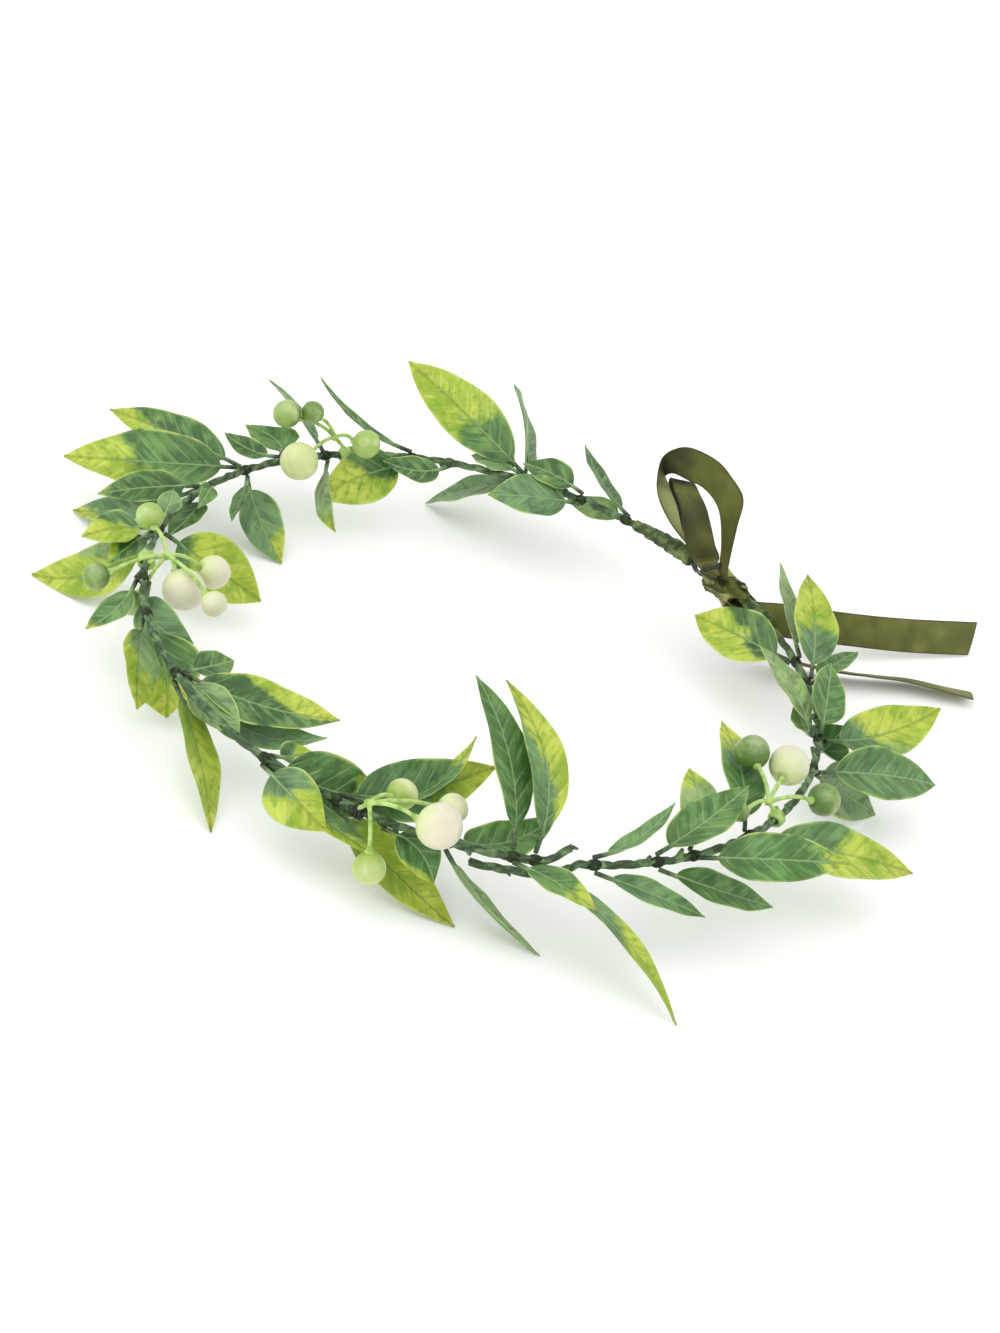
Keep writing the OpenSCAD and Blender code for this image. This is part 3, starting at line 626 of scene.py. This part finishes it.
berry_paints = {}
for tint, (belly, ripe_belly, crown) in BERRY_COLOURS.items():
    berry_paints[tint], berry_tree = finish(
        "berry " + tint, 0.36, Subsurface_Weight=0.3, Subsurface_Radius=(0.004, 0.004, 0.002),
        Subsurface_Scale=0.6, Coat_Weight=0.15, Coat_Roughness=0.4)
    from_stalk = marked(berry_tree, "from_stalk", "Fac")
    ripe = marked(berry_tree, "ripe", "Fac")
    clouds = mottle(berry_tree, 240.0, 3.0)
    pores = mottle(berry_tree, 1500.0, 2.0)
    body_colour = blend(berry_tree, ripe, belly, ripe_belly)
    body_colour = blend(berry_tree, clouds.ramp(0.4, 0.7) * 0.3, body_colour, paint(0.88, 0.89, 0.74))
    body_colour = blend(berry_tree, (from_stalk + (clouds - 0.5) * 0.6).ramp(0.6, 0.1), body_colour, crown)
    feed(berry_tree, body_colour, height=clouds * 0.6 + pores * 0.3, depth=0.0003, strength=0.6)

# A ball with soft lumps, flattened where the stalk enters it and a little at the far side.
balls, ball_point, ball_size, stalk_way, ball_seed, ripeness, ball_paint = new_tree(
    "berry", diameter=0.008, stalk_way=(0.0, 0.0, 1.0), seed=1.0, ripe=0.5, finish=berry_paints["white"])
ball = add(balls, "GeometryNodeMeshIcoSphere", 1.0, 5)
here = add(balls, "GeometryNodeInputPosition")
toward = add(balls, "ShaderNodeVectorMath", here, stalk_way, operation="DOT_PRODUCT", out="Value")
seeded = here + add(balls, "ShaderNodeCombineXYZ", ball_seed, ball_seed, ball_seed)
lump = mottle(balls, 1.1, 1.0, over=seeded)
swell = 1 + (lump - 0.5) * 0.1 - toward.ramp(0.9, 1.0) * 0.1 - (toward * -1).ramp(0.97, 1.0) * 0.05
ball = keep(balls, ball, "from_stalk", (1 - toward) * 0.5, "FLOAT")
ball = keep(balls, ball, "ripe", ripeness, "FLOAT")
ball = add(balls, "GeometryNodeSetPosition", ball, None, here * (swell * ball_size * 0.5))
set_out = add(balls, "GeometryNodeInstanceOnPoints", named={"Points": ball_point, "Instance": ball})
close_tree(balls, set_out, ball_paint)

stalk_paint, stalk_nodes = finish("pale stalk", 0.5, Subsurface_Weight=0.1,
                                  Subsurface_Radius=(0.002, 0.002, 0.001))
flecks = mottle(stalk_nodes, 500.0, 3.0)
wire_share = marked(stalk_nodes, "wire", "Fac")
stalk_colour = blend(stalk_nodes, flecks.ramp(0.4, 0.7), paint(0.70, 0.80, 0.46), paint(0.50, 0.65, 0.28))
stalk_colour = blend(stalk_nodes, wire_share, stalk_colour, paint(0.09, 0.11, 0.06))
feed(stalk_nodes, stalk_colour, height=flecks, depth=0.0002)


def rod(tree, path, step, radius):
    """A round rod on a smooth line through the points of a path"""
    line = add(tree, "GeometryNodeMeshToCurve", path)
    line = add(tree, "GeometryNodeCurveSplineType", line, spline_type="CATMULL_ROM")
    line = add(tree, "GeometryNodeResampleCurve", line, named={"Length": step}, mode="LENGTH")
    round_cut = add(tree, "GeometryNodeCurvePrimitiveCircle", 12, named={"Radius": 1.0})
    return add(tree, "GeometryNodeCurveToMesh", line, round_cut, radius, True)


stalk_grower, stalk_path, stalk_r, stalk_cover = new_tree("stalk", radius=0.0006, finish=stalk_paint)
reach = add(stalk_grower, "GeometryNodeSplineParameter")
knobs = reach.ramp(0.12, 0.0) * 0.7 + reach.ramp(0.86, 1.0) * 1.1 + 0.9
close_tree(stalk_grower, rod(stalk_grower, stalk_path, 0.0007, stalk_r * knobs), stalk_cover)

winding_r, winding_pitch, winding_steps = 0.0017, 0.00011, 28
stalk_foot, stalk_bow, stalk_end = 0.0014, 0.006, 0.00047
for spray, (foot_station, fork_station, fork_out, fork_up) in enumerate(SPRAYS, 1):
    foot, fork, run = spot(foot_station), spot(fork_station, fork_out, fork_up), along_ring(foot_station)
    away = ((fork - foot) - (fork - foot).dot(run) * run).normalized()
    wind = [foot + winding_r * (math.cos(k * 0.7) * away + math.sin(k * 0.7) * run.cross(away))
            + run * (k - winding_steps / 2) * winding_pitch for k in range(winding_steps)]
    foot_top = foot + stalk_foot * away
    rising = [foot_top, (foot_top + fork) / 2, fork]
    points = wind + rising
    edges = chain(wind) + chain(rising, len(wind))
    for number, (owner, station, out, lifted, size, tint, ripe) in enumerate(BERRIES, 1):
        if owner != spray:
            continue
        centre = spot(station, out, lifted)
        way = (centre - fork).normalized()
        inside = centre - way * size * stalk_end
        bowed = [fork.lerp(inside, k / 6) + Vector((0, 0, stalk_bow * k / 6 * (1 - k / 6))) for k in range(7)]
        edges += chain(bowed, len(points))
        points += bowed
        berry = grow(f"berry_{number:02d}_satin", balls, [centre], diameter=size / 1000,
                     stalk_way=rounded(-way), seed=number * 1.7, ripe=ripe, finish=berry_paints[tint])
        ready(berry, "berry_" + tint, f"berry_{number:02d}")
    wired = [float(spray == 3 and k < len(wind)) for k in range(len(points))]
    sprig = grow(f"stalk_spray_{spray:02d}_stalks", stalk_grower, points, edges, marks={"wire": wired})
    ready(sprig, "berry_stalk", f"stalk_spray_{spray:02d}")


# Tape sleeves
# Crinkled green floral tape is wound round each end of the ring, every turn lapping the one before.
# It sticks to itself, hides the cut ends of the wires, and thins out toward the end of its winding.
tape_paint, tape_nodes = finish("floral tape", 0.75)
crinkle = mottle(tape_nodes, 900.0, 6.0)
patchy = mottle(tape_nodes, 380.0, 5.0)
lap = marked(tape_nodes, "lap", "Fac")
tape_colour = blend(tape_nodes, patchy.ramp(0.38, 0.66), paint(0.16, 0.26, 0.12), paint(0.46, 0.53, 0.30))
tape_colour = blend(tape_nodes, lap.ramp(0.86, 1.0) * 0.7, tape_colour, paint(0.08, 0.15, 0.08))
feed(tape_nodes, tape_colour, height=crinkle, depth=0.0006)

# Each turn of the tape rises by a small step up to its edge, on a tube that slims toward its far end.
sleeves, sleeve_path, sleeve_r, turns, step, sleeve_paint = new_tree(
    "wound tape", radius=0.003, turns=5.0, lap_step=0.00045, finish=tape_paint)
line = add(sleeves, "GeometryNodeMeshToCurve", sleeve_path)
line = add(sleeves, "GeometryNodeResampleCurve", line, named={"Count": 90})
line = keep(sleeves, line, "run", add(sleeves, "GeometryNodeSplineParameter"), "FLOAT")
ring_cut = add(sleeves, "GeometryNodeCurvePrimitiveCircle", 48, named={"Radius": 1.0})
ring_cut = keep(sleeves, ring_cut, "round", add(sleeves, "GeometryNodeSplineParameter"), "FLOAT")
sleeve = add(sleeves, "GeometryNodeCurveToMesh", line, ring_cut, sleeve_r, True)
run_at, round_at = unpack(sleeves, "run", "FLOAT"), unpack(sleeves, "round", "FLOAT")
lap_at = (run_at * turns + round_at).do("FRACT")
bumps = add(sleeves, "ShaderNodeTexNoise", named={"Scale": 520.0, "Detail": 4.0})
slim = run_at.ramp(0.25, 1.0) * sleeve_r * 0.36
ends = run_at.ramp(0.0, 0.04) * run_at.ramp(1.0, 0.96)
outward = add(sleeves, "GeometryNodeInputNormal")
sleeve = keep(sleeves, sleeve, "lap", lap_at, "FLOAT")
swollen = (lap_at * step + (bumps - 0.5) * 0.0009 - 0.0003) * ends - (1 - ends) * 0.0006 - slim
sleeve = add(sleeves, "GeometryNodeSetPosition", sleeve, None, None, outward * swollen)
close_tree(sleeves, sleeve, sleeve_paint)

for tape_name, first, last, radius, tape_turns in (
    ("tape_left", 102, 115.5, 0.00255, 6.0), ("tape_right", 80, 91, 0.00225, 5.0)
):
    sleeve_line = [spot(first + (last - first) * k / 20) for k in range(21)]
    tape = grow(tape_name + "_wound", sleeves, sleeve_line, chain(sleeve_line),
                radius=radius, turns=tape_turns)
    ready(tape, "tape", tape_name)


# Wire eye
# A dark wrapped wire is bent into a small eye at the left end, and its two legs are twisted into the tape.
# A wire tail crosses the foot of the bow and holds it down on the knot.
wire_paint, wire_nodes = finish("dark wrapped wire", 0.42)
fibres = mottle(wire_nodes, 1400.0, 3.0)
wire_colour = blend(wire_nodes, fibres.ramp(0.4, 0.7), paint(0.07, 0.09, 0.06), paint(0.19, 0.24, 0.14))
feed(wire_nodes, wire_colour, height=fibres, depth=0.0002)

bender, wire_path, wire_r, wire_cover = new_tree("bent wire", radius=0.0006, finish=wire_paint)
close_tree(bender, rod(bender, wire_path, 0.0005, wire_r), wire_cover)

eye_at, eye_run, upward = spot(99.8), along_ring(99.8), Vector((0, 0, 1))
eye_r, twist_r, leg_start, leg_step = 0.00275, 0.00055, 0.0034, 0.0003


def leg(half_turn):
    """One of the two legs, twisted round the other, from the tape to the eye"""
    turns_at = [(k, k * 0.75 + half_turn) for k in range(14, 0, -1)]
    return [eye_at + eye_run * (leg_start + leg_step * k)
            + twist_r * (math.cos(a) * upward + math.sin(a) * eye_run.cross(upward)) for k, a in turns_at]


loop = [eye_at + eye_r * (math.cos(math.radians(a)) * eye_run + math.sin(math.radians(a)) * upward)
        for a in range(20, 345, 12)]
eye_line = leg(0) + loop + leg(math.pi)[::-1]
tail_line = [Vector(p) / 1000 for p in (
    (-17.4, 88.5, 22.5), (-13.3, 86.5, 22.8), (-8.1, 82.9, 26.7), (-7.1, 83.5, 28.0),
    (-6.6, 85.1, 28.7), (-5.6, 86.6, 29.7), (-5.0, 87.4, 31.4), (-6.4, 89.5, 31.8))]
wire_edges = chain(eye_line) + chain(tail_line, len(eye_line))
ready(grow("wire_eye_twisted", bender, eye_line + tail_line, wire_edges, radius=0.0005), "wire", "wire_eye")


# Ribbon
# A 10 mm olive satin ribbon is tied in a half bow: one open loop, one flattened loop in front of it,
# a long tail and a short tail cut on the slant, and a crumpled knot wound round the ring.

# Each pair gives the two edges of the ribbon at one place, in millimetres.
OPEN_LOOP = [
    ((-3, 91, 23.5), (-6, 92, 23)), ((-2.5, 87.5, 28), (-6, 89, 27)),
    ((-2.5, 86, 34), (-6.5, 87.5, 29)), ((-2, 83.5, 46), (-6.5, 85, 37)),
    ((-2.5, 82.5, 55), (-8, 82, 46)), ((-8, 81, 59), (-11.5, 81, 49.5)), ((-15, 81, 60), (-17, 81, 50)),
    ((-25, 80.5, 58), (-23, 82, 48)), ((-31, 80.5, 54), (-31.5, 84, 45)),
    ((-34.5, 80.5, 48.5), (-36, 86, 40.5)), ((-33.5, 80.5, 41.5), (-35, 89, 37)),
    ((-31, 81, 37), (-32.5, 90.5, 34)), ((-27, 82, 33.5), (-29, 91.5, 31.5)),
    ((-22, 83, 31), (-24, 92, 29.5)), ((-16.5, 84.5, 29), (-18.5, 92, 28.5)),
    ((-12, 87, 28), (-13, 91, 28)), ((-8, 91, 23.5), (-8.5, 92.5, 23.5)),
]
FLAT_LOOP = [
    ((-6.5, 90.5, 23), (-6.5, 92, 23.5)), ((-8, 83.5, 26.5), (-8, 88, 27.5)),
    ((-9, 78.8, 30.7), (-8, 87.8, 31)), ((-11, 76.6, 34.2), (-10, 86.6, 34)),
    ((-14, 76, 38.5), (-13, 86, 38)), ((-18, 76, 43.7), (-17, 85.7, 42.2)),
    ((-21, 75, 47), (-20, 84.6, 45)), ((-22.5, 74.8, 49), (-22, 84.2, 46.5)),
    ((-24.5, 75.3, 49), (-24, 84.6, 46.5)), ((-25, 76.5, 46), (-24.5, 85.6, 44)),
    ((-20.5, 77.5, 41.8), (-20, 87, 40.3)), ((-16, 78.5, 36), (-15.5, 87.5, 35.5)),
    ((-12.5, 81.5, 31), (-12, 88.5, 31)), ((-11, 84.5, 28), (-11, 88.5, 28)),
    ((-8.5, 91, 23.5), (-8.5, 92.5, 23.5)),
]
LONG_TAIL = [
    ((-2, 93.2, 19.5), (-4, 94.2, 21.5)), ((0.2, 96.4, 16), (-2.9, 98.3, 19.2)),
    ((2.5, 101, 11.8), (-1.5, 103, 17.4)), ((6.5, 110, 9), (1, 112, 16.8)),
    ((12, 132, 6), (7, 134, 14)), ((17, 154, 3.2), (12, 156, 11.6)),
    ((21.3, 178.4, 0.7), (16.8, 182.6, 9.2)),
]
SHORT_TAIL = [
    ((-0.5, 92, 19.8), (-2.5, 93.4, 19.8)), ((3, 91.4, 16.2), (1, 94.4, 16)),
    ((7.5, 94, 12.5), (4.5, 98, 9.5)), ((16, 106, 8), (10.5, 112.5, 2.5)),
    ((24, 124, 5.6), (19.5, 129, 1.4)), ((31, 140.5, 4.7), (26, 146, 1.2)),
    ((36, 148.5, 4.1), (31, 154, 1.1)), ((43, 158.5, 3.4), (37, 164, 0.8)),
]

# The satin's thickness in metres, and its threads in each millimetre across and along the ribbon.
SATIN_THICKNESS = 0.00035
WARP_PER_MM, WEFT_PER_MM = 4.5, 3.2

satin, satin_tree = finish("olive satin", 0.4, Sheen_Weight=0.03, Sheen_Roughness=0.4,
                           Anisotropic=0.5, Specular_IOR_Level=0.22)
cloth_at = marked(satin_tree, "cloth")
across_at, length_at, shade_at = cloth_at.parts()
shading = mottle(satin_tree, 90.0, 3.0)
warp = (across_at * 2 * math.pi * WARP_PER_MM).do("SINE")
weft = (length_at * 2 * math.pi * WEFT_PER_MM).do("SINE")
slub = mottle(satin_tree, 6.0, 3.0, over=cloth_at)
olive = blend(satin_tree, shading.ramp(0.35, 0.7), paint(0.34, 0.35, 0.12), paint(0.46, 0.47, 0.20))
olive = blend(satin_tree, slub.ramp(0.5, 0.75) * 0.3, olive, paint(0.50, 0.51, 0.26))
# Painted shade where the shade mark is above 0, painted light where it is below 0.
olive = blend(satin_tree, shade_at.ramp(0.0, 1.0), olive, paint(0.17, 0.165, 0.05))
olive = blend(satin_tree, shade_at.ramp(0.0, -1.0), olive, paint(0.66, 0.67, 0.40))
selvedge = abs(across_at).ramp(4.55, 4.75)
olive = blend(satin_tree, selvedge * 0.6, olive, paint(0.22, 0.22, 0.08))
feed(satin_tree, olive, height=warp * 0.3 + weft * 0.25 + selvedge, depth=0.00012, rough=slub * 0.25 + 0.28)


def through(rows, i, t):
    """A smooth curve through rows[i] and rows[i + 1]"""
    a, b, c, d = (Vector(rows[j]) for j in (max(i - 1, 0), i, i + 1, min(i + 2, len(rows) - 1)))
    squared, cubed = 2 * a - 5 * b + 4 * c - d, 3 * b - a - 3 * c + d
    return 0.5 * (2 * b + (c - a) * t + squared * t * t + cubed * t ** 3)


def smooth(rows, steps=9):
    """A smooth line of points through all rows"""
    line = [through(rows, i, k / steps) for i in range(len(rows) - 1) for k in range(steps)]
    return line + [Vector(rows[-1])]


def read_off(pairs, t):
    """The value at t between pairs of places and values"""
    for (t0, v0), (t1, v1) in zip(pairs, pairs[1:]):
        if t <= t1:
            return v0 + (v1 - v0) * max(t - t0, 0) / (t1 - t0)
    return pairs[-1][1]


def band(name, lines, width, shades, curl, crumple=0.12, across=13):
    """Ribbon between two edges, given as pairs of millimetre points, with a slight curl over its width.
    shades gives the painted shade (above 0) and painted light (below 0) on the satin along its run, and each
    crease adds a little painted shade and light."""
    corners, cloth, run = [], [], 0.0
    for i, (near, far) in enumerate(lines):
        before, after = lines[max(i - 1, 0)], lines[min(i + 1, len(lines) - 1)]
        ahead = ((after[0] + after[1]) - (before[0] + before[1])).normalized()
        normal = ahead.cross(far - near).normalized()
        if i:
            run += ((near + far) - (before[0] + before[1])).length / 2
        for k in range(across):
            share = k / (across - 1)
            puff = curl * (1 - (2 * share - 1) ** 2)
            crease = crumple * noise.noise(Vector((run * 0.12, share * 1.5, len(lines))))
            # Painted shade and light follow the creases: darker where a crease pushes the band out along its
            # normal, lighter where it sinks.
            shade = read_off(shades, i / (len(lines) - 1)) + crease / crumple * 0.35
            corners.append((near.lerp(far, share) + normal * (puff + crease)) / 1000)
            cloth.append(((share - 0.5) * width, run, shade))
    faces = [(i * across + k, i * across + k + 1, (i + 1) * across + k + 1, (i + 1) * across + k)
             for i in range(len(lines) - 1) for k in range(across - 1)]
    mesh = bpy.data.meshes.new(name)
    mesh.from_pydata([tuple(c) for c in corners], [], faces)
    layer = mesh.attributes.new("cloth", "FLOAT_VECTOR", "POINT")
    for item, value in zip(layer.data, cloth):
        item.vector = value
    mesh.materials.append(satin)
    mesh.shade_smooth()
    piece = bpy.data.objects.new(name, mesh)
    scene.collection.objects.link(piece)
    wall = piece.modifiers.new("wall", "SOLIDIFY")
    wall.thickness = SATIN_THICKNESS
    wall.offset = 0
    return piece, run / 1000


# The last numbers of each piece paint shade (above 0) and light (below 0) along its run: the open loop's dark
# top and lit left limb, the flat loop's dark strip and fold, the tails darker by the knot.
for ribbon_name, rows, held, curl, shades in (
    ("ribbon_open_loop", OPEN_LOOP, "folded", 0.25, (
        (0, 0.5), (0.18, 0), (0.36, 0.05), (0.45, 0.5), (0.56, 0.9),
        (0.61, 0.1), (0.66, -0.7), (0.85, -0.5), (1, 0))),
    ("ribbon_flat_loop", FLAT_LOOP, "folded", 0.15, (
        (0, -0.3), (0.12, -0.6), (0.15, 0.4), (0.32, 0.6), (0.39, 0.25),
        (0.43, -0.2), (0.47, 0.3), (0.52, 1), (1, 0.7))),
    ("ribbon_long_tail", LONG_TAIL, "laid", 0.3, ((0, 0.6), (0.2, 0.2), (0.6, 0), (1, -0.15))),
    ("ribbon_short_tail", SHORT_TAIL, "laid", 0.5, ((0, 0.5), (0.4, 0.3), (1, -0.4))),
):
    edges_of = list(zip(smooth([near for near, far in rows]), smooth([far for near, far in rows])))
    piece, ribbon_length = band(ribbon_name + "_satin", edges_of, 10, shades, curl=curl)
    ready(piece, "ribbon", ribbon_name)


# The knot goes a little over three times round the ring. Each step along it gives the two edges of the band,
# from a station and half a width in degrees, and a distance from the ring's centreline in millimetres.
KNOT_TURNS, KNOT_STEPS = 3.1, 160
knot_lines, knot_shades = [], []
for k in range(KNOT_STEPS + 1):
    t = k / KNOT_STEPS
    a = 2 * math.pi * KNOT_TURNS * t
    station = 90.6 + 4.6 * t + 1.1 * math.sin(2.6 * a)
    half_band = 2.9 + 0.5 * math.sin(3.3 * a)
    radius = 3.7 + 0.5 * math.sin(math.pi * t) + 0.35 * t + 0.35 * math.sin(4.3 * a)
    # Painted shade in the knot's gaps and painted light on its folds, from noise along the band.
    knot_shades.append((t, 3.0 * noise.noise(Vector((a * 1.1, 7.0, 3.0))) + 0.1))
    edges_here = []
    for to_edge, pulled_in, fold_row in ((-half_band, 0.84, 0.0), (half_band, 1.0, 4.0)):
        fold_r = radius * pulled_in + 1.1 * noise.noise(Vector((a * 1.1, fold_row, 2.0)))
        across_ring, above_ring = fold_r * math.cos(a) - 0.6, fold_r * math.sin(a) - 0.4
        edges_here.append(1000 * spot(station + to_edge, across_ring, above_ring))
    knot_lines.append(tuple(edges_here))
knot, knot_length = band("ribbon_knot_satin", knot_lines, 10, knot_shades, curl=0.6, crumple=0.9)
ready(knot, "ribbon", "ribbon_knot")
